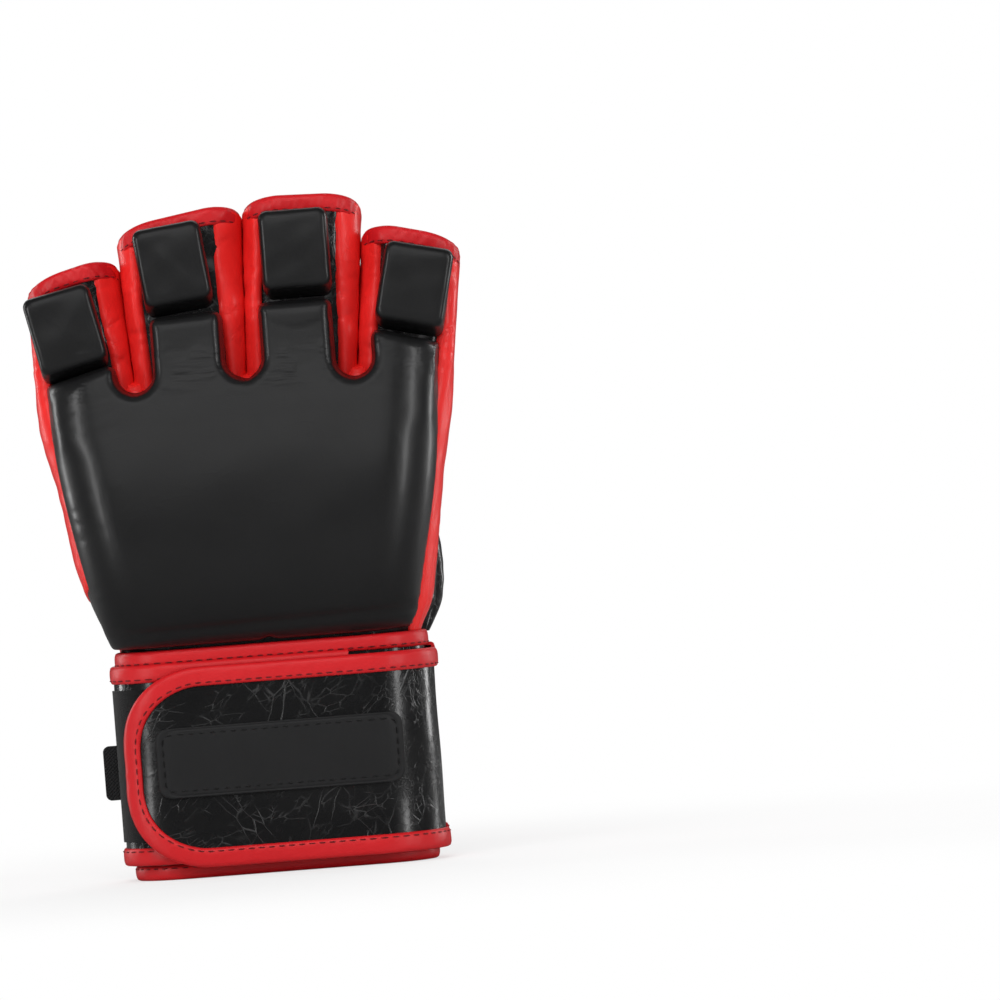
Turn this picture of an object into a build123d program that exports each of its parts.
"""Left-hand grappling glove with an open palm and a double-wrap wrist strap.

Frame: +Z runs from the wrist opening to the finger tips, -Y is the back of the hand and +X the index side.
The origin is the centre of the wrist opening, on the plane that the glove stands on. Sizes are millimetres.
Outlines are drawn in the XZ plane, as the glove is seen from the back of the hand.
"""

import os
from math import cos, radians, sin, tan

from build123d import *

# ---- leather sleeve that the hand fills ----
LEATHER = 1.4
LINING = 0.8
WALL = LEATHER + LINING
CUFF_HEIGHT = 75.0
CUFF_HALF_WIDTH = 49.0
CUFF_HALF_DEPTH = 20.5
SIDE_FLAT = 3.5  # half of the flat between the two rounded corners of a side
PALM_LENGTH = 87.0  # from the cuff to where the fingers part
CROTCH_HEIGHT = CUFF_HEIGHT + PALM_LENGTH
STALL_ROOT = CROTCH_HEIGHT - 12.0  # the stalls start inside the top of the hand
# height, centre, half width and half depth of the sleeve above the cuff
HAND_SECTIONS = [
    (CUFF_HEIGHT, 0.0, CUFF_HALF_WIDTH, CUFF_HALF_DEPTH),
    (CUFF_HEIGHT + 9.0, -0.8, 54.0, 20.5),
    (CUFF_HEIGHT + 25.0, -2.0, 58.5, 20.5),
    (CUFF_HEIGHT + 55.0, -2.1, 63.5, 19.0),
    (STALL_ROOT, -2.2, 67.8, 17.0),
    (CROTCH_HEIGHT, -1.7, 68.8, 15.5),
]

# ---- finger stalls ----
FINGERS = ["little", "ring", "middle", "index"]
STALL_TOP = CROTCH_HEIGHT + 68.0  # past every mouth
# outer side, the three lines between the fingers and outer side, at the root and at the top
ROOT_EDGES = [-69.8, -37.2, -1.5, 34.5, 65.2]
TOP_EDGES = [-72.1, -38.8, 2.1, 42.5, 76.2]
STALL_GAP = 2.0  # clearance between neighbouring stalls
STALL_HALF_DEPTH = 14.0
STALL_CORNER = 11.0
HINGE_RISES = {"little": 7.0, "ring": 25.0, "middle": 27.0, "index": 11.5}  # from the crotch
HINGES = {finger: CROTCH_HEIGHT + rise for finger, rise in HINGE_RISES.items()}
STALL_LENGTHS = {"little": 26.5, "ring": 22.5, "middle": 23.5, "index": 24.0}  # from the hinge to the mouth
MOUTH_RISES = {"little": 14.0, "ring": 9.0, "middle": -2.0, "index": -14.0}  # degrees, towards the index side
MOUTH_TILT = 22.0  # degrees: the mouth of a stall is higher at the back than at the palm
FOLD_ANGLE = 25.0  # degrees: half of the wedge that closes when a finger curls
FOLD_GAP = 0.5
WALL_RETURN = 6.5  # how far a stall's side wall comes round to its back and to its palm

# ---- padding ----
COVER = 1.5  # leather over the foam
FINGER_PAD_WIDTH = 22.5
FINGER_PAD_HEIGHT = 26.0
FINGER_PAD_THICK = 11.0
FINGER_PAD_ROOT = 7.0  # the pads reach this deep beside the rounded corners of the stalls
FINGER_PAD_CORNER = 4.0
FINGER_PAD_ROUND = 4.5
FINGER_PAD_SHIFTS = {"little": -4.0, "ring": -2.8, "middle": -0.9, "index": 3.5}  # from the middle of the stall
FINGER_PAD_RISES = {"little": 15.2, "ring": 15.0, "middle": 14.2, "index": 14.7}  # from the hinge
FINGER_PAD_TURNS = {"little": 12.0, "ring": 6.5, "middle": 0.0, "index": -13.5}  # degrees
# height, centre, half width and half depth of the crown that shapes the main pad
CROWN_SECTIONS = [
    (CUFF_HEIGHT + 0.5, -1.5, 50.0, 23.5),
    (CUFF_HEIGHT + 9.0, -2.2, 52.5, 31.0),
    (CUFF_HEIGHT + 29.0, -2.6, 56.8, 35.5),
    (CUFF_HEIGHT + 53.0, -2.4, 61.4, 35.5),
    (STALL_ROOT, -2.4, 64.0, 32.5),
    (CROTCH_HEIGHT + 10.0, -1.5, 66.0, 28.5),
    (CROTCH_HEIGHT + 32.0, -1.0, 68.0, 26.5),
]
CROWN_CORNER = 20.0
PAD_BOTTOM = CUFF_HEIGHT + 1.5
PAD_SLACK = 2.0  # the outline lies this far outside the crown, which shapes the sides
EDGE_ROLL = [(20.0, 0.0), (24.0, 1.0), (27.5, 3.4), (36.5, 14.0)]  # depth, and how far an edge leans in there
LOBE_DROP = 2.0  # from the hinge of a finger down to the top of its lobe
LOBE_RISES = {"little": 14.5, "ring": 2.5, "middle": 0.0, "index": -17.0}  # degrees
LOBE_CORNER = 3.0
LOBE_CLEAR = 0.5  # between a lobe and the stall that curls over it
NOTCH_SHIFTS = [0.2, -0.3, -0.7]  # from the line between two fingers
NOTCH_RISES = [-1.5, 1.0, -1.5]  # from the crotch
NOTCH_HALF_WIDTH = 6.0
SEAM_UNDER_PAD = 3.0  # the side panels run this far under the pad


def above_cuff(points):
    """Points that are written as (x, height above the cuff), in the frame of the glove."""
    return [(x, CUFF_HEIGHT + rise) for x, rise in points]


# ---- palm ----
HOLE_RADIUS = 38.0
HOLE_TO_FINGERS = 5.0  # leather between the hole and the crotch
HOLE_CENTRE = (2.5, CROTCH_HEIGHT - HOLE_TO_FINGERS - HOLE_RADIUS)
HOLE_START = 25.0  # degrees: the arc of the hole, from the index side
HOLE_END = 205.0
HOLE_WRIST_EDGE = [(-29.5, HOLE_CENTRE[1] - 22.0), *above_cuff([(-21.8, 9.0), (-14.5, -1.0)])]
HEEL_EDGE = above_cuff([(8.2, -1.0), (5.6, 8.0), (-3.6, 19.4), (-12.0, 32.5)])
HOLE_UNDER_THUMB = above_cuff([(-4.0, 31.0), (8.0, 23.0), (34.0, 21.0), (44.0, 37.0)])
VENT_X = -42.0
VENT_HALF_WIDTH = 3.0
VENT_TOP = CUFF_HEIGHT + 16.0
SEAM_TOP = CROTCH_HEIGHT - 2.0
LITTLE_SEAM = [*above_cuff([(-50.0, 15.0), (-53.0, 28.0), (-57.5, 55.0)]), (-61.5, SEAM_TOP)]
INDEX_SEAM = [*above_cuff([(62.0, 47.0), (58.5, 60.0), (60.0, 73.0)]), (61.0, SEAM_TOP)]
CROSS_SEAM = above_cuff([(-90.0, 23.0), (-59.0, 34.0), (-36.0, 41.5), (-5.0, 50.0), (42.0, 64.0), (58.7, 57.0),
                         (90.0, 45.0)])
SEAM_IN_HOLE = -13.5  # the palm pieces of the two sides part inside the hole

# ---- bindings: folded strips that wrap an edge ----
BINDING_WIDTH = 5.0  # seen width, with the fold over the edge
BINDING_OUT = 1.2
BINDING_IN = 0.8
BINDING_EDGE = 1.0
STALL_BINDING_OUT = 0.8

# ---- thumb stall ----
THUMB_FRONT = 22.5  # its face over the palm
THUMB_DEPTH = 18.0
THUMB_CORNER = 7.5
THUMB_WALL = 2.0
# centre x, centre z, half width and tilt in degrees, from the base to the mouth
THUMB_SECTIONS = [
    (30.0, CUFF_HEIGHT + 2.5, 22.0, -2.0),
    (27.0, CUFF_HEIGHT + 27.0, 31.0, 4.0),
    (17.0, CUFF_HEIGHT + 52.0, 31.0, 15.0),
    (-3.0, CUFF_HEIGHT + 70.7, 21.5, 28.5),
]
THUMB_PAD = above_cuff([(15.0, 74.0), (37.0, 62.0), (50.0, 43.0), (49.5, 10.5), (12.5, 21.0), (-9.5, 51.0)])
THUMB_PAD_THICK = 6.0
THUMB_PAD_BORDER = 5.0
THUMB_PAD_CORNER = 5.0
THUMB_PAD_ROUND = 2.5
THUMB_ENTRY_CENTRE = (20.0, CUFF_HEIGHT + 37.0)
THUMB_ENTRY_RADIUS = 14.0
THUMB_WEB_BOX = (42.0, 52.0, CUFF_HEIGHT + 13.0, CUFF_HEIGHT + 43.0)  # x from and to, z from and to

# ---- wrist band and strap, as layers outside the cuff ----
BAND_THICK = 1.8
BAND_BINDING_OUT = 0.8
BAND_BINDING_WIDTH = 4.0
BAND_SETBACK = 0.4  # the band stops this far below the top of the cuff
STRAP_THICK = 2.0
STRAP_MARGIN = 11.0  # the strap is this much narrower than the cuff is high
STRAP_WIDTH = CUFF_HEIGHT - STRAP_MARGIN
STRAP_BINDING_OUT = 0.8
LOOP_THICK = 0.7
HOOK_THICK = 0.7
LAYER_CLEAR = 0.3
WRAP_BOTTOM = 6.2
WRAP_START = 26.0  # where the strap is sewn down, under the flap
FLAP_BOTTOM = 4.5
FLAP_END = -48.0
FLAP_END_RADIUS = 26.0
HINGE_Y = -3.0
HINGE_GAP = 0.5
TAPE_MARGIN = 7.0
LOOP_END = 18.0
HOOK_START = -38.0
HOOK_END = 6.0
BADGE_WIDTH = 79.0
BADGE_HEIGHT = 23.0
BADGE_THICK = 1.2
BADGE_CENTRE = (0.7, FLAP_BOTTOM + STRAP_WIDTH / 2 + 1.9)
BADGE_CORNER = 4.0
TAB_HEIGHT = 18.0
TAB_REACH = 5.5
TAB_THICK = 1.8
TAB_CENTRE = WRAP_BOTTOM + STRAP_WIDTH / 2 - 2.2
TAB_CORNER = 2.0

REACH = 90.0  # half length of a cutter, past the glove on either side
SKY = 300.0  # height that every cutter reaches

os.makedirs("parts", exist_ok=True)


def save(name, piece):
    """Labels a finished piece and writes it under its name."""
    piece.part.label = name
    export_step(piece.part, f"parts/{name}.step")


# ---------------------------------------------------------------- forms and cutters
def rounded_prism(centre, half_width, half_depth, bottom, top, corner):
    """Upright block with rounded corners."""
    with BuildPart() as block:
        with BuildSketch(Plane.XY.offset(bottom)):
            with Locations((centre, 0)):
                RectangleRounded(2 * half_width, 2 * half_depth, corner)
        extrude(amount=top - bottom)
    return block.part


def loft_through(sections):
    """Loft through rounded rectangles: sections of height, centre, half width, half depth and corner."""
    with BuildPart() as form:
        for height, centre, half_width, half_depth, corner in sections:
            with BuildSketch(Plane.XY.offset(height)):
                with Locations((centre, 0)):
                    RectangleRounded(2 * half_width, 2 * half_depth, corner)
        loft()
    return form.part


def prism(outline, y_from=-REACH, y_to=REACH, margin=0.0):
    """Outline in the XZ plane, moved out by margin and carried from y_from to y_to."""
    with BuildPart() as block:
        with BuildSketch(Plane.XZ.offset(-y_from)):
            add(outline)
            if margin:
                offset(amount=margin)
        extrude(amount=y_from - y_to)
    return block.part


def polygon(points):
    """Face inside straight runs."""
    with BuildSketch() as face:
        with BuildLine():
            Polyline(*points, close=True)
        make_face()
    return face.sketch


def side_prism(points):
    """Outline of (y, z) points carried right across X."""
    with BuildPart() as block:
        with BuildSketch(Plane.YZ):
            with BuildLine():
                Polyline(*points, close=True)
            make_face()
        extrude(amount=REACH, both=True)
    return block.part


def box_between(x_from, x_to, y_from, y_to, z_from, z_to):
    """Block between two corners."""
    with BuildPart() as block:
        with BuildSketch(Plane.XY.offset(z_from)):
            with Locations(((x_from + x_to) / 2, (y_from + y_to) / 2)):
                Rectangle(x_to - x_from, y_to - y_from)
        extrude(amount=z_to - z_from)
    return block.part


def cuff_form(grow, bottom, top):
    """Straight tube of the wrist, moved out by grow."""
    corner = CUFF_HALF_DEPTH - SIDE_FLAT + grow
    return rounded_prism(0, CUFF_HALF_WIDTH + grow, CUFF_HALF_DEPTH + grow, bottom, top, corner)


def hand_form(grow):
    """Hand above the cuff, moved out by grow, and lower at its top when it is moved in."""
    sections = []
    for height, centre, half_width, half_depth in HAND_SECTIONS:
        level = height + min(grow, 0) if height == CROTCH_HEIGHT else height
        corner = half_depth - SIDE_FLAT + grow
        sections.append((level, centre, half_width + grow, half_depth + grow, corner))
    return loft_through(sections)


def edge_at(number, height):
    """Place across the hand of one of the five lines beside the fingers, which lean with the fingers."""
    share = (height - STALL_ROOT) / (STALL_TOP - STALL_ROOT)
    return ROOT_EDGES[number] + share * (TOP_EDGES[number] - ROOT_EDGES[number])


def stall_sides(finger, height):
    """Left and right side of a stall at a height."""
    number = FINGERS.index(finger)
    left, right = edge_at(number, height), edge_at(number + 1, height)
    if number > 0:
        left += STALL_GAP / 2
    if number < len(FINGERS) - 1:
        right -= STALL_GAP / 2
    return left, right


def stall_centre(finger, height):
    return sum(stall_sides(finger, height)) / 2


def pad_middle(finger):
    """Place across the hand of a finger's pad, and of the lobe below it."""
    return stall_centre(finger, HINGES[finger]) + FINGER_PAD_SHIFTS[finger]


def stall_form(finger, grow):
    """Flattened tube of one finger, moved out by grow, longer than the stall."""
    sections = []
    for height in (STALL_ROOT, STALL_TOP):
        left, right = stall_sides(finger, height)
        half_width = (right - left) / 2 + grow
        sections.append((height, (left + right) / 2, half_width, STALL_HALF_DEPTH + grow, STALL_CORNER + grow))
    return loft_through(sections)


def leaning_outline(number_left, margin_left, number_right, margin_right, bottom):
    """Outline between two of the lines beside the fingers, each moved by a margin."""
    outline = []
    for number, margin, heights in ((number_left, margin_left, (bottom, STALL_TOP)),
                                    (number_right, margin_right, (STALL_TOP, bottom))):
        for height in heights:
            outline.append((edge_at(number, height) + margin, height))
    return polygon(outline)


def mouth_plane(finger, rise):
    """Plane of a stall's mouth, rise above the leather's edge. It climbs towards the back of the hand."""
    normal = Vector(-tan(radians(MOUTH_RISES[finger])), tan(radians(MOUTH_TILT)), 1)
    mouth = HINGES[finger] + STALL_LENGTHS[finger]
    return Plane(origin=(stall_centre(finger, mouth), 0, mouth + rise), z_dir=normal)


FOLD_RISE = tan(radians(FOLD_ANGLE))


def over_fold(finger):
    """Space of a finger that curls: over its hinge, and over the fold's wedge at the palm."""
    hinge = HINGES[finger] + FOLD_GAP / 2
    return side_prism([(-REACH, hinge), (0, hinge), (REACH, hinge + REACH * FOLD_RISE), (REACH, SKY), (-REACH, SKY)])


def under_fold(finger):
    """Space of the hand, under a finger's hinge and under the fold's wedge at the palm."""
    hinge = HINGES[finger] - FOLD_GAP / 2
    return side_prism([(-REACH, hinge), (0, hinge), (REACH, hinge - REACH * FOLD_RISE), (REACH, 0), (-REACH, 0)])


def in_fold(finger):
    """The wedge itself, seated on the hand's side of the fold."""
    low = HINGES[finger] - FOLD_GAP / 2
    high = HINGES[finger]
    start = FOLD_GAP
    return side_prism([(start, high), (REACH, high + (REACH - start) * FOLD_RISE), (REACH, low - REACH * FOLD_RISE),
                       (start, low - start * FOLD_RISE)])


def crown_side(section, side, inset):
    """Point on the outline of the main pad, at a section of its crown, side being -1 or 1."""
    height, centre, half_width, _ = section
    return centre + side * (half_width - inset), height


# ---------------------------------------------------------------- leather shell of the hand
hand_outer = hand_form(0)
hand_inner = hand_form(-LEATHER)
stall_outer = {finger: stall_form(finger, 0) for finger in FINGERS}
stall_inner = {finger: stall_form(finger, -WALL) for finger in FINGERS}

with BuildPart() as stubs:
    for finger in FINGERS:
        with BuildPart(mode=Mode.PRIVATE) as stub:
            add(stall_outer[finger])
            add(under_fold(finger), mode=Mode.INTERSECT)
        add(stub.part)

with BuildPart() as shell:
    add(hand_outer)
    add(stubs.part)
    add(hand_inner, mode=Mode.SUBTRACT)
    for finger in FINGERS:
        add(stall_inner[finger], mode=Mode.SUBTRACT)

# the hole in the palm
with BuildSketch() as hole:
    with BuildLine():
        arc = CenterArc(HOLE_CENTRE, HOLE_RADIUS, HOLE_START, HOLE_END - HOLE_START)
        Polyline(arc @ 1, *HOLE_WRIST_EDGE, *HEEL_EDGE, *HOLE_UNDER_THUMB, arc @ 0)
    make_face()
HOLE_EAST = arc @ 0

# the slit over the wrist
with BuildSketch() as vent:
    with Locations((VENT_X, (CUFF_HEIGHT + VENT_TOP - VENT_HALF_WIDTH) / 2)):
        Rectangle(2 * VENT_HALF_WIDTH, VENT_TOP - VENT_HALF_WIDTH - CUFF_HEIGHT)
    with Locations((VENT_X, VENT_TOP - VENT_HALF_WIDTH)):
        Circle(VENT_HALF_WIDTH)

hole_cutter = prism(hole.sketch, 0)
vent_cutter = prism(vent.sketch, 0)


# ---- where each leather panel lies
def side_region(side, number, palm_seam):
    """Space of a side panel: past the main pad's edge at the back, and past its seam at the palm."""
    past = side * REACH
    top = [(edge_at(number, height) - side * WALL_RETURN, height) for height in (CROTCH_HEIGHT, STALL_TOP)]
    top.append((past, STALL_TOP))
    back = [crown_side(section, side, SEAM_UNDER_PAD) for section in CROWN_SECTIONS if section[0] < CROTCH_HEIGHT]
    with BuildPart() as region:
        add(prism(polygon([(past, CUFF_HEIGHT), (back[0][0], CUFF_HEIGHT), *back, *top]), -REACH, 0))
        add(prism(polygon([(past, palm_seam[0][1]), *palm_seam, *top]), 0, REACH))
    return region.part


little_region = side_region(-1, 0, [(LITTLE_SEAM[0][0], CUFF_HEIGHT), *LITTLE_SEAM])
index_region = side_region(1, len(FINGERS), INDEX_SEAM)


def gusset_region(number):
    """Space of the leather between two fingers. It starts under the main pad."""
    with BuildPart() as region:
        add(prism(leaning_outline(number, -WALL_RETURN, number, WALL_RETURN, STALL_ROOT), -REACH, 0))
        add(prism(leaning_outline(number, -WALL_RETURN, number, WALL_RETURN, CROTCH_HEIGHT - LEATHER), 0, REACH))
    return region.part


gusset_regions = [gusset_region(number) for number in range(1, len(FINGERS))]

with BuildPart() as side_panel_little:
    add(shell.part)
    add(little_region, mode=Mode.INTERSECT)
save("side_panel_little", side_panel_little)

with BuildPart() as side_panel_index:
    add(shell.part)
    add(index_region, mode=Mode.INTERSECT)
save("side_panel_index", side_panel_index)

for number, region in enumerate(gusset_regions):
    with BuildPart() as gusset:
        add(shell.part)
        add(region, mode=Mode.INTERSECT)
    save(f"gusset_{FINGERS[number]}_{FINGERS[number + 1]}", gusset)

with BuildPart() as front_and_back:
    add(shell.part)
    add(little_region, mode=Mode.SUBTRACT)
    add(index_region, mode=Mode.SUBTRACT)
    for region in gusset_regions:
        add(region, mode=Mode.SUBTRACT)

with BuildPart() as back_panel:
    add(front_and_back.part)
    split(bisect_by=Plane.XZ, keep=Keep.TOP)
save("back_panel", back_panel)

with BuildPart() as palm:
    add(front_and_back.part)
    split(bisect_by=Plane.XZ, keep=Keep.BOTTOM)
    add(hole_cutter, mode=Mode.SUBTRACT)
    add(vent_cutter, mode=Mode.SUBTRACT)

wrist_region = prism(polygon([(-REACH, 0), (REACH, 0), *reversed(CROSS_SEAM)]))

with BuildPart() as palm_panel:
    add(palm.part)
    add(wrist_region, mode=Mode.SUBTRACT)
save("palm_panel", palm_panel)

with BuildPart() as palm_wrist_panel:
    add(palm.part)
    add(wrist_region, mode=Mode.INTERSECT)
    split(bisect_by=Plane.YZ.offset(SEAM_IN_HOLE), keep=Keep.BOTTOM)
save("palm_wrist_panel", palm_wrist_panel)

with BuildPart() as palm_heel:
    add(palm.part)
    add(wrist_region, mode=Mode.INTERSECT)
    split(bisect_by=Plane.YZ.offset(SEAM_IN_HOLE), keep=Keep.TOP)
save("palm_heel", palm_heel)

with BuildPart() as hand_lining:
    add(cuff_form(-LEATHER, BINDING_EDGE, CUFF_HEIGHT))
    add(hand_inner)
    add(cuff_form(-WALL, 0, CUFF_HEIGHT), mode=Mode.SUBTRACT)
    add(hand_form(-WALL), mode=Mode.SUBTRACT)
    for finger in FINGERS:
        add(stall_inner[finger], mode=Mode.SUBTRACT)
    add(hole_cutter, mode=Mode.SUBTRACT)
    add(vent_cutter, mode=Mode.SUBTRACT)
save("hand_lining", hand_lining)

# ---------------------------------------------------------------- bindings of the palm
with BuildPart() as palm_skin:
    add(hand_form(BINDING_OUT))
    add(hand_form(-WALL - BINDING_IN), mode=Mode.SUBTRACT)

with BuildPart() as leather_and_lining:
    add(hand_outer)
    add(hand_form(-WALL), mode=Mode.SUBTRACT)
    add(hole_cutter, mode=Mode.SUBTRACT)
    add(vent_cutter, mode=Mode.SUBTRACT)


def edge_binding(outline, region):
    """Strip that wraps the edge of an opening in the palm, inside a region."""
    with BuildPart() as strip:
        add(palm_skin.part)
        add(prism(outline, 0, REACH, BINDING_WIDTH - BINDING_EDGE), mode=Mode.INTERSECT)
        add(region, mode=Mode.INTERSECT)
        add(prism(outline, 0, REACH, -BINDING_EDGE), mode=Mode.SUBTRACT)
        add(leather_and_lining.part, mode=Mode.SUBTRACT)
    return strip


TIP = HEEL_EDGE[-1]
BAND_TOP = CUFF_HEIGHT - BAND_SETBACK
FOOT = BAND_TOP + BINDING_EDGE  # the bindings of the palm end on the band's own binding
heel_outline = [(SEAM_IN_HOLE, FOOT), (SEAM_IN_HOLE, HEEL_EDGE[1][1]), (TIP[0] - BINDING_WIDTH, TIP[1] - BINDING_WIDTH),
                (TIP[0] - BINDING_WIDTH, TIP[1] + BINDING_WIDTH), (HOLE_UNDER_THUMB[0][0], TIP[1] + BINDING_WIDTH),
                (HOLE_UNDER_THUMB[0][0], HOLE_UNDER_THUMB[1][1] + BINDING_WIDTH),
                (HOLE_UNDER_THUMB[1][0], HOLE_UNDER_THUMB[2][1] - BINDING_WIDTH),
                (REACH, HEEL_EDGE[1][1] + BINDING_WIDTH), (REACH, FOOT)]
heel_region = prism(polygon(heel_outline))
arc_outline = [(SEAM_IN_HOLE, FOOT), (SEAM_IN_HOLE, HEEL_EDGE[1][1]), (TIP[0] - BINDING_WIDTH, TIP[1] - BINDING_WIDTH),
               (TIP[0] - BINDING_WIDTH, TIP[1] + BINDING_WIDTH), (HOLE_EAST.X, HOLE_EAST.Y), (REACH, HOLE_EAST.Y),
               (REACH, SKY), (-REACH, SKY), (-REACH, FOOT)]
arc_region = prism(polygon(arc_outline))
save("palm_opening_binding", edge_binding(hole.sketch, arc_region))
save("palm_heel_binding", edge_binding(hole.sketch, heel_region))
save("vent_binding", edge_binding(vent.sketch, box_between(-REACH, REACH, 0, REACH, FOOT, SKY)))

# ---------------------------------------------------------------- main pad
def crown_form(inset):
    """Crown of the main pad, moved in by inset."""
    sections = []
    for height, centre, half_width, half_depth in CROWN_SECTIONS:
        corner = CROWN_CORNER - inset
        sections.append((height, centre, half_width - inset, half_depth - inset, corner))
    return loft_through(sections)


# centre of the U at the foot of each notch
NOTCHES = []
for number, (shift, rise) in enumerate(zip(NOTCH_SHIFTS, NOTCH_RISES), start=1):
    NOTCHES.append((edge_at(number, CROTCH_HEIGHT) + shift, CROTCH_HEIGHT + rise + NOTCH_HALF_WIDTH))

with BuildSketch() as pad_outline:
    with BuildLine():
        left_side = [crown_side(section, -1, -PAD_SLACK) for section in CROWN_SECTIONS]
        right_side = [crown_side(section, 1, -PAD_SLACK) for section in CROWN_SECTIONS]
        Polyline(*left_side, *reversed(right_side), close=True)
    make_face()
    with BuildSketch(mode=Mode.INTERSECT):
        for number, finger in enumerate(FINGERS):
            left, right = [edge_at(line, HINGES[finger]) for line in (number, number + 1)]
            rise = tan(radians(LOBE_RISES[finger]))
            top = HINGES[finger] - LOBE_DROP
            middle = pad_middle(finger)
            with BuildLine():
                Polyline((left, PAD_BOTTOM), (left, top + (left - middle) * rise),
                         (right, top + (right - middle) * rise), (right, PAD_BOTTOM), close=True)
            make_face()
    for centre_x, centre_z in NOTCHES:
        with Locations((centre_x, centre_z)):
            Circle(NOTCH_HALF_WIDTH, mode=Mode.SUBTRACT)
        with Locations((centre_x, (centre_z + SKY) / 2)):
            Rectangle(2 * NOTCH_HALF_WIDTH, SKY - centre_z, mode=Mode.SUBTRACT)
    notch_arc_ends = [centre_z for _, centre_z in NOTCHES]
    corners = list(pad_outline.vertices().group_by(Axis.Y)[0])
    for vertex in pad_outline.vertices():
        if vertex.Y > CROTCH_HEIGHT and min(abs(vertex.Y - end) for end in notch_arc_ends) > 0.01:
            corners.append(vertex)
    fillet(corners, LOBE_CORNER)


def notch_roll(centre_x, centre_z, inset):
    """Cutter that rolls the edges of a notch over, with the U of its foot turned round its own axis."""
    right = [(NOTCH_HALF_WIDTH + inset + lean, inset - depth) for depth, lean in EDGE_ROLL]
    left = [(-across, depth) for across, depth in reversed(right)]
    foot = Plane(origin=(centre_x, 0, centre_z), z_dir=(0, 0, 1))
    with BuildPart() as cutter:
        with BuildSketch(foot):
            with BuildLine():
                Polyline(*right, *left, close=True)
            make_face()
        extrude(amount=SKY - centre_z)
        with BuildSketch(foot):
            with BuildLine():
                Polyline((0, right[0][1]), *right, (0, right[-1][1]), close=True)
            make_face()
        revolve(axis=Axis((centre_x, 0, centre_z), (0, 1, 0)))
    return cutter.part


def lobe_roll(finger, inset):
    """Cutter that rolls the top edge of a lobe over."""
    rise = radians(LOBE_RISES[finger])
    left, right = stall_sides(finger, HINGES[finger])
    top = Plane(origin=(pad_middle(finger), 0, HINGES[finger] - LOBE_DROP), x_dir=(0, 1, 0),
                z_dir=(cos(rise), 0, sin(rise)))
    edge = [(inset - depth, -lean - inset) for depth, lean in EDGE_ROLL]
    with BuildPart() as cutter:
        with BuildSketch(top):
            with BuildLine():
                Polyline(*edge, (edge[-1][0], STALL_CORNER), (edge[0][0], STALL_CORNER), close=True)
            make_face()
        extrude(amount=(right - left) / 2, both=True)
    return cutter.part


def pad_block(inset):
    """Main pad down to the middle of the hand, moved in by inset."""
    with BuildPart() as block:
        add(crown_form(inset))
        add(prism(pad_outline.sketch, -REACH, 0, -inset), mode=Mode.INTERSECT)
        for centre_x, centre_z in NOTCHES:
            add(notch_roll(centre_x, centre_z, inset), mode=Mode.SUBTRACT)
        for finger in FINGERS:
            add(lobe_roll(finger, inset), mode=Mode.SUBTRACT)
    return block.part


finger_reach = {}
for finger in FINGERS:
    with BuildPart() as reach:
        add(stall_form(finger, LOBE_CLEAR))
        split(bisect_by=Plane.XY.offset(HINGES[finger] - LOBE_CLEAR), keep=Keep.TOP)
    finger_reach[finger] = reach.part

with BuildPart() as knuckle_pad_foam:
    add(pad_block(COVER))
    add(hand_outer, mode=Mode.SUBTRACT)
    add(stubs.part, mode=Mode.SUBTRACT)
    for finger in FINGERS:
        add(finger_reach[finger], mode=Mode.SUBTRACT)
save("knuckle_pad_foam", knuckle_pad_foam)

with BuildPart() as knuckle_pad_cover:
    add(pad_block(0))
    add(hand_outer, mode=Mode.SUBTRACT)
    add(stubs.part, mode=Mode.SUBTRACT)
    for finger in FINGERS:
        add(finger_reach[finger], mode=Mode.SUBTRACT)
    add(knuckle_pad_foam.part, mode=Mode.SUBTRACT)
save("knuckle_pad_cover", knuckle_pad_cover)

# ---------------------------------------------------------------- finger stalls
def finger_pad_block(finger, inset):
    """Pad of a finger, moved in by inset, cut to the stall that it lies on."""
    centre = (pad_middle(finger), HINGES[finger] + FINGER_PAD_RISES[finger])
    with BuildPart() as block:
        with BuildSketch(Plane.XZ.offset(FINGER_PAD_ROOT)):
            with Locations(Location(centre, FINGER_PAD_TURNS[finger])):
                RectangleRounded(FINGER_PAD_WIDTH - 2 * inset, FINGER_PAD_HEIGHT - 2 * inset,
                                 FINGER_PAD_CORNER - inset)
        extrude(amount=STALL_HALF_DEPTH + FINGER_PAD_THICK - inset - FINGER_PAD_ROOT)
        fillet(block.faces().sort_by(Axis.Y)[0].edges(), FINGER_PAD_ROUND - inset)
        add(stall_outer[finger], mode=Mode.SUBTRACT)
    return block.part


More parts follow.
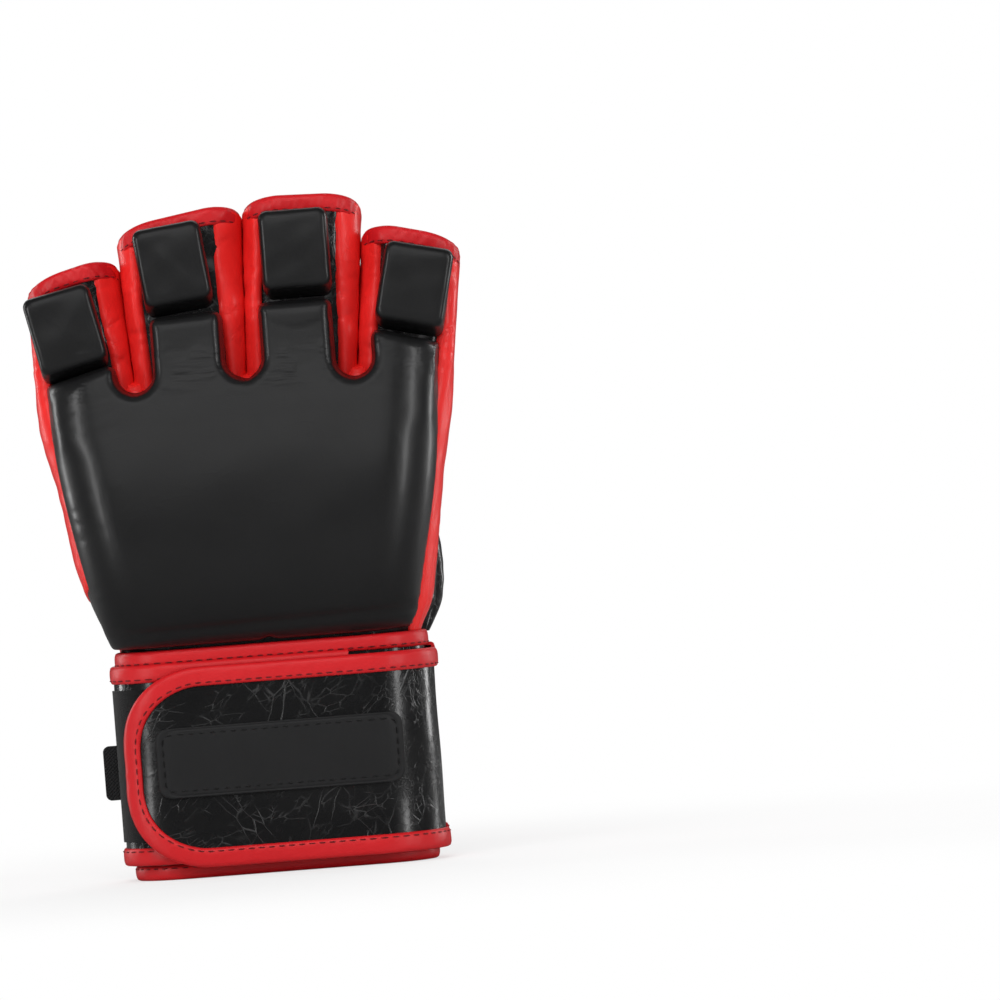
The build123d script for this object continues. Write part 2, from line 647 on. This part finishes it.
for number, finger in enumerate(FINGERS):
    strip_outline = leaning_outline(number, WALL_RETURN, number + 1, -WALL_RETURN, CROTCH_HEIGHT)

    with BuildPart() as tube:
        add(stall_outer[finger])
        add(stall_inner[finger], mode=Mode.SUBTRACT)

    with BuildPart() as stall:
        add(tube.part)
        add(over_fold(finger), mode=Mode.INTERSECT)
        split(bisect_by=mouth_plane(finger, 0), keep=Keep.BOTTOM)

    with BuildPart() as back_strip:
        add(stall.part)
        add(prism(strip_outline, -REACH, 0), mode=Mode.INTERSECT)
    save(f"{finger}_back_strip", back_strip)

    with BuildPart() as palm_strip:
        add(stall.part)
        add(prism(strip_outline, 0, REACH), mode=Mode.INTERSECT)
    save(f"{finger}_palm_strip", palm_strip)

    with BuildPart() as side_walls:
        add(stall.part)
        add(prism(strip_outline), mode=Mode.SUBTRACT)
    save(f"{finger}_side_walls", side_walls)

    with BuildPart() as opening_binding:
        add(stall_form(finger, STALL_BINDING_OUT))
        add(stall_form(finger, -WALL - BINDING_IN), mode=Mode.SUBTRACT)
        split(bisect_by=mouth_plane(finger, BINDING_EDGE), keep=Keep.BOTTOM)
        split(bisect_by=mouth_plane(finger, BINDING_EDGE - BINDING_WIDTH), keep=Keep.TOP)
        add(stall.part, mode=Mode.SUBTRACT)
    save(f"{finger}_opening_binding", opening_binding)

    with BuildPart() as fold:
        add(tube.part)
        add(in_fold(finger), mode=Mode.INTERSECT)
    save(f"{finger}_fold", fold)

    with BuildPart() as pad_foam:
        add(finger_pad_block(finger, COVER))
        add(opening_binding.part, mode=Mode.SUBTRACT)
    save(f"{finger}_pad_foam", pad_foam)

    with BuildPart() as pad_cover:
        add(finger_pad_block(finger, 0))
        add(pad_foam.part, mode=Mode.SUBTRACT)
        add(opening_binding.part, mode=Mode.SUBTRACT)
    save(f"{finger}_pad_cover", pad_cover)

# ---------------------------------------------------------------- thumb stall
def thumb_plane(section, rise):
    """Plane across the thumb at one of its sections, moved rise towards the mouth."""
    centre_x, centre_z, _, tilt = section
    across = Vector(cos(radians(tilt)), 0, sin(radians(tilt)))
    along = Vector(-sin(radians(tilt)), 0, cos(radians(tilt)))
    origin = Vector(centre_x, THUMB_FRONT + THUMB_DEPTH / 2, centre_z) + along * rise
    return Plane(origin=origin, x_dir=across, z_dir=along)


def thumb_form(grow):
    """Flattened tube of the thumb, moved out by grow. Its base is higher when it is moved in."""
    with BuildPart() as form:
        for section in THUMB_SECTIONS:
            rise = max(-grow, 0) if section is THUMB_SECTIONS[0] else 0
            with BuildSketch(thumb_plane(section, rise)):
                RectangleRounded(2 * (section[2] + grow), THUMB_DEPTH + 2 * grow, THUMB_CORNER + grow)
        loft()
    return form.part


def thumb_mouth_form(grow, low, high):
    """Straight piece of the thumb's tube at its mouth."""
    mouth = THUMB_SECTIONS[-1]
    with BuildPart() as form:
        with BuildSketch(thumb_plane(mouth, low)):
            RectangleRounded(2 * (mouth[2] + grow), THUMB_DEPTH + 2 * grow, THUMB_CORNER + grow)
        extrude(amount=high - low)
    return form.part


with BuildSketch() as thumb_pad_outline:
    with BuildLine():
        Polyline(*THUMB_PAD, close=True)
    make_face()

thumb_outer = thumb_form(0)

with BuildPart() as thumb_stall:
    add(thumb_outer)
    add(thumb_form(-THUMB_WALL), mode=Mode.SUBTRACT)
    with BuildSketch(Plane.XZ.offset(-THUMB_FRONT - 2 * THUMB_WALL)):
        with Locations(THUMB_ENTRY_CENTRE):
            Circle(THUMB_ENTRY_RADIUS)
    extrude(amount=REACH, mode=Mode.SUBTRACT)
save("thumb_stall", thumb_stall)

with BuildPart() as thumb_opening_binding:
    add(thumb_form(BINDING_OUT))
    split(bisect_by=thumb_plane(THUMB_SECTIONS[-1], BINDING_EDGE - BINDING_WIDTH), keep=Keep.TOP)
    add(thumb_mouth_form(BINDING_OUT, 0, BINDING_EDGE))
    add(thumb_form(-THUMB_WALL - BINDING_IN), mode=Mode.SUBTRACT)
    add(thumb_mouth_form(-THUMB_WALL - BINDING_IN, -1, REACH), mode=Mode.SUBTRACT)
    add(thumb_stall.part, mode=Mode.SUBTRACT)
save("thumb_opening_binding", thumb_opening_binding)


def thumb_pad_block(inset):
    """Raised middle of the thumb's pad, moved in by inset."""
    with BuildPart() as block:
        with BuildSketch(Plane.XZ.offset(-THUMB_FRONT - THUMB_DEPTH / 2)) as block_outline:
            add(thumb_pad_outline.sketch)
            offset(amount=-THUMB_PAD_BORDER - inset)
            fillet(block_outline.vertices(), THUMB_PAD_CORNER - inset)
        extrude(amount=-THUMB_DEPTH / 2 - THUMB_PAD_THICK + inset)
        fillet(block.faces().sort_by(Axis.Y)[-1].edges(), THUMB_PAD_ROUND)
        add(thumb_outer, mode=Mode.SUBTRACT)
    return block.part


with BuildPart() as thumb_pad_foam:
    add(thumb_pad_block(COVER))
save("thumb_pad_foam", thumb_pad_foam)

with BuildPart() as thumb_pad_cover:
    add(thumb_form(COVER))
    add(prism(thumb_pad_outline.sketch, THUMB_FRONT + THUMB_DEPTH / 2, REACH), mode=Mode.INTERSECT)
    add(thumb_outer, mode=Mode.SUBTRACT)
    add(thumb_pad_block(0))
    add(thumb_pad_foam.part, mode=Mode.SUBTRACT)
    add(thumb_opening_binding.part, mode=Mode.SUBTRACT)
save("thumb_pad_cover", thumb_pad_cover)

with BuildPart() as thumb_web:
    web_left, web_right, web_low, web_high = THUMB_WEB_BOX
    add(box_between(web_left, web_right, 0, THUMB_FRONT - LAYER_CLEAR, web_low, web_high))
    add(hand_outer, mode=Mode.SUBTRACT)
save("thumb_web", thumb_web)

# ---------------------------------------------------------------- cuff and wrist band
with BuildPart() as cuff:
    add(cuff_form(0, BINDING_EDGE, CUFF_HEIGHT))
    add(cuff_form(-LEATHER, 0, CUFF_HEIGHT), mode=Mode.SUBTRACT)
save("cuff", cuff)

with BuildPart() as cuff_bottom_binding:
    add(cuff_form(BINDING_OUT, 0, BINDING_WIDTH))
    add(cuff_form(-WALL - BINDING_IN, 0, BINDING_WIDTH), mode=Mode.SUBTRACT)
    add(cuff.part, mode=Mode.SUBTRACT)
    add(hand_lining.part, mode=Mode.SUBTRACT)
save("cuff_bottom_binding", cuff_bottom_binding)

BAND_BINDING_BOTTOM = BAND_TOP + BINDING_EDGE - BAND_BINDING_WIDTH

with BuildPart() as wrist_band:
    add(cuff_form(BAND_THICK, BINDING_WIDTH, BAND_TOP))
    add(cuff_form(0, BINDING_WIDTH, BAND_TOP), mode=Mode.SUBTRACT)
save("wrist_band", wrist_band)

with BuildPart() as wrist_band_binding:
    add(cuff_form(BAND_THICK + BAND_BINDING_OUT, BAND_BINDING_BOTTOM, BAND_TOP + BINDING_EDGE))
    add(cuff_form(0, 0, BAND_TOP + BINDING_EDGE), mode=Mode.SUBTRACT)
    add(wrist_band.part, mode=Mode.SUBTRACT)
    add(hand_outer, mode=Mode.SUBTRACT)
save("wrist_band_binding", wrist_band_binding)

# ---------------------------------------------------------------- first wrap of the strap
WRAP_TOP = WRAP_BOTTOM + STRAP_WIDTH
WRAP_OUT = BAND_THICK + STRAP_THICK

with BuildPart() as under_flap:
    add(box_between(WRAP_START, REACH, -REACH, HINGE_Y + HINGE_GAP, 0, SKY))
not_wrapped = under_flap.part

with BuildPart() as strap_wrap:
    add(cuff_form(WRAP_OUT, WRAP_BOTTOM, WRAP_TOP))
    add(cuff_form(BAND_THICK, 0, SKY), mode=Mode.SUBTRACT)
    add(not_wrapped, mode=Mode.SUBTRACT)
save("strap_wrap", strap_wrap)


WRAP_BINDING_BOTTOMS = [WRAP_BOTTOM - BINDING_EDGE, WRAP_TOP + BINDING_EDGE - BINDING_WIDTH]

with BuildPart() as strap_wrap_bindings:
    for bottom in WRAP_BINDING_BOTTOMS:
        add(cuff_form(WRAP_OUT + STRAP_BINDING_OUT, bottom, bottom + BINDING_WIDTH))
    add(cuff_form(BAND_THICK, 0, SKY), mode=Mode.SUBTRACT)
    add(strap_wrap.part, mode=Mode.SUBTRACT)
    add(not_wrapped, mode=Mode.SUBTRACT)
save("strap_wrap_bindings", strap_wrap_bindings)

with BuildPart() as loop_panel:
    add(cuff_form(WRAP_OUT + LOOP_THICK, WRAP_BOTTOM + TAPE_MARGIN, WRAP_TOP - TAPE_MARGIN))
    add(cuff_form(WRAP_OUT, 0, SKY), mode=Mode.SUBTRACT)
    add(box_between(-REACH, LOOP_END, -REACH, HINGE_Y, 0, SKY), mode=Mode.INTERSECT)
save("loop_panel", loop_panel)

with BuildPart() as side_tab:
    tab_root = -CUFF_HALF_WIDTH - WRAP_OUT
    add(box_between(tab_root - TAB_REACH, tab_root, -TAB_THICK / 2, TAB_THICK / 2, TAB_CENTRE - TAB_HEIGHT / 2,
                    TAB_CENTRE + TAB_HEIGHT / 2))
    outer_corners = side_tab.edges().filter_by(Axis.Y).group_by(Axis.X)[0]
    fillet(outer_corners, TAB_CORNER)
save("side_tab", side_tab)

# ---------------------------------------------------------------- flap of the strap
HOOK_IN = WRAP_OUT + LOOP_THICK + LAYER_CLEAR
FLAP_IN = HOOK_IN + HOOK_THICK  # inner face of the flap over the back of the hand and the little side
FLAP_SIDE_IN = BAND_THICK + LAYER_CLEAR  # and at the hinge, beside the band
FLAP_TOP = FLAP_BOTTOM + STRAP_WIDTH


def flap_form(grow, bottom, top):
    """Space inside the flap, moved out by grow. It leans against the band on the hinge's side."""
    centre = (FLAP_SIDE_IN - FLAP_IN) / 2
    half_width = CUFF_HALF_WIDTH + (FLAP_SIDE_IN + FLAP_IN) / 2 + grow
    half_depth = CUFF_HALF_DEPTH + FLAP_IN + grow
    return rounded_prism(centre, half_width, half_depth, bottom, top, half_depth - SIDE_FLAT)


with BuildSketch() as flap_outline:
    with Locations((FLAP_END, (FLAP_BOTTOM + FLAP_TOP) / 2)):
        Rectangle(REACH - FLAP_END, STRAP_WIDTH, align=(Align.MIN, Align.CENTER))
    fillet(flap_outline.vertices().group_by(Axis.X)[0], FLAP_END_RADIUS)

flap_side = box_between(-REACH, REACH, -REACH, HINGE_Y - HINGE_GAP, 0, SKY)

with BuildPart() as strap_flap:
    add(flap_form(STRAP_THICK, 0, FLAP_TOP + BINDING_EDGE))
    add(flap_form(0, 0, SKY), mode=Mode.SUBTRACT)
    add(flap_side, mode=Mode.INTERSECT)
    add(prism(flap_outline.sketch), mode=Mode.INTERSECT)
save("strap_flap", strap_flap)

with BuildPart() as strap_flap_binding:
    add(flap_form(STRAP_THICK + STRAP_BINDING_OUT, 0, FLAP_TOP + BINDING_EDGE))
    add(flap_form(0, 0, SKY), mode=Mode.SUBTRACT)
    add(flap_side, mode=Mode.INTERSECT)
    add(prism(flap_outline.sketch, margin=BINDING_EDGE), mode=Mode.INTERSECT)
    add(prism(flap_outline.sketch, margin=BINDING_EDGE - BINDING_WIDTH), mode=Mode.SUBTRACT)
    add(strap_flap.part, mode=Mode.SUBTRACT)
save("strap_flap_binding", strap_flap_binding)

with BuildPart() as hook_panel:
    add(flap_form(0, FLAP_BOTTOM + TAPE_MARGIN, FLAP_TOP - TAPE_MARGIN))
    add(cuff_form(HOOK_IN, 0, SKY), mode=Mode.SUBTRACT)
    add(box_between(HOOK_START, HOOK_END, -REACH, HINGE_Y, 0, SKY), mode=Mode.INTERSECT)
save("hook_panel", hook_panel)

with BuildPart() as strap_badge:
    with BuildSketch(Plane.XZ):
        with Locations(BADGE_CENTRE):
            RectangleRounded(BADGE_WIDTH, BADGE_HEIGHT, BADGE_CORNER)
    extrude(amount=REACH)
    add(flap_form(STRAP_THICK + BADGE_THICK, 0, SKY), mode=Mode.INTERSECT)
    add(flap_form(STRAP_THICK, 0, SKY), mode=Mode.SUBTRACT)
save("strap_badge", strap_badge)
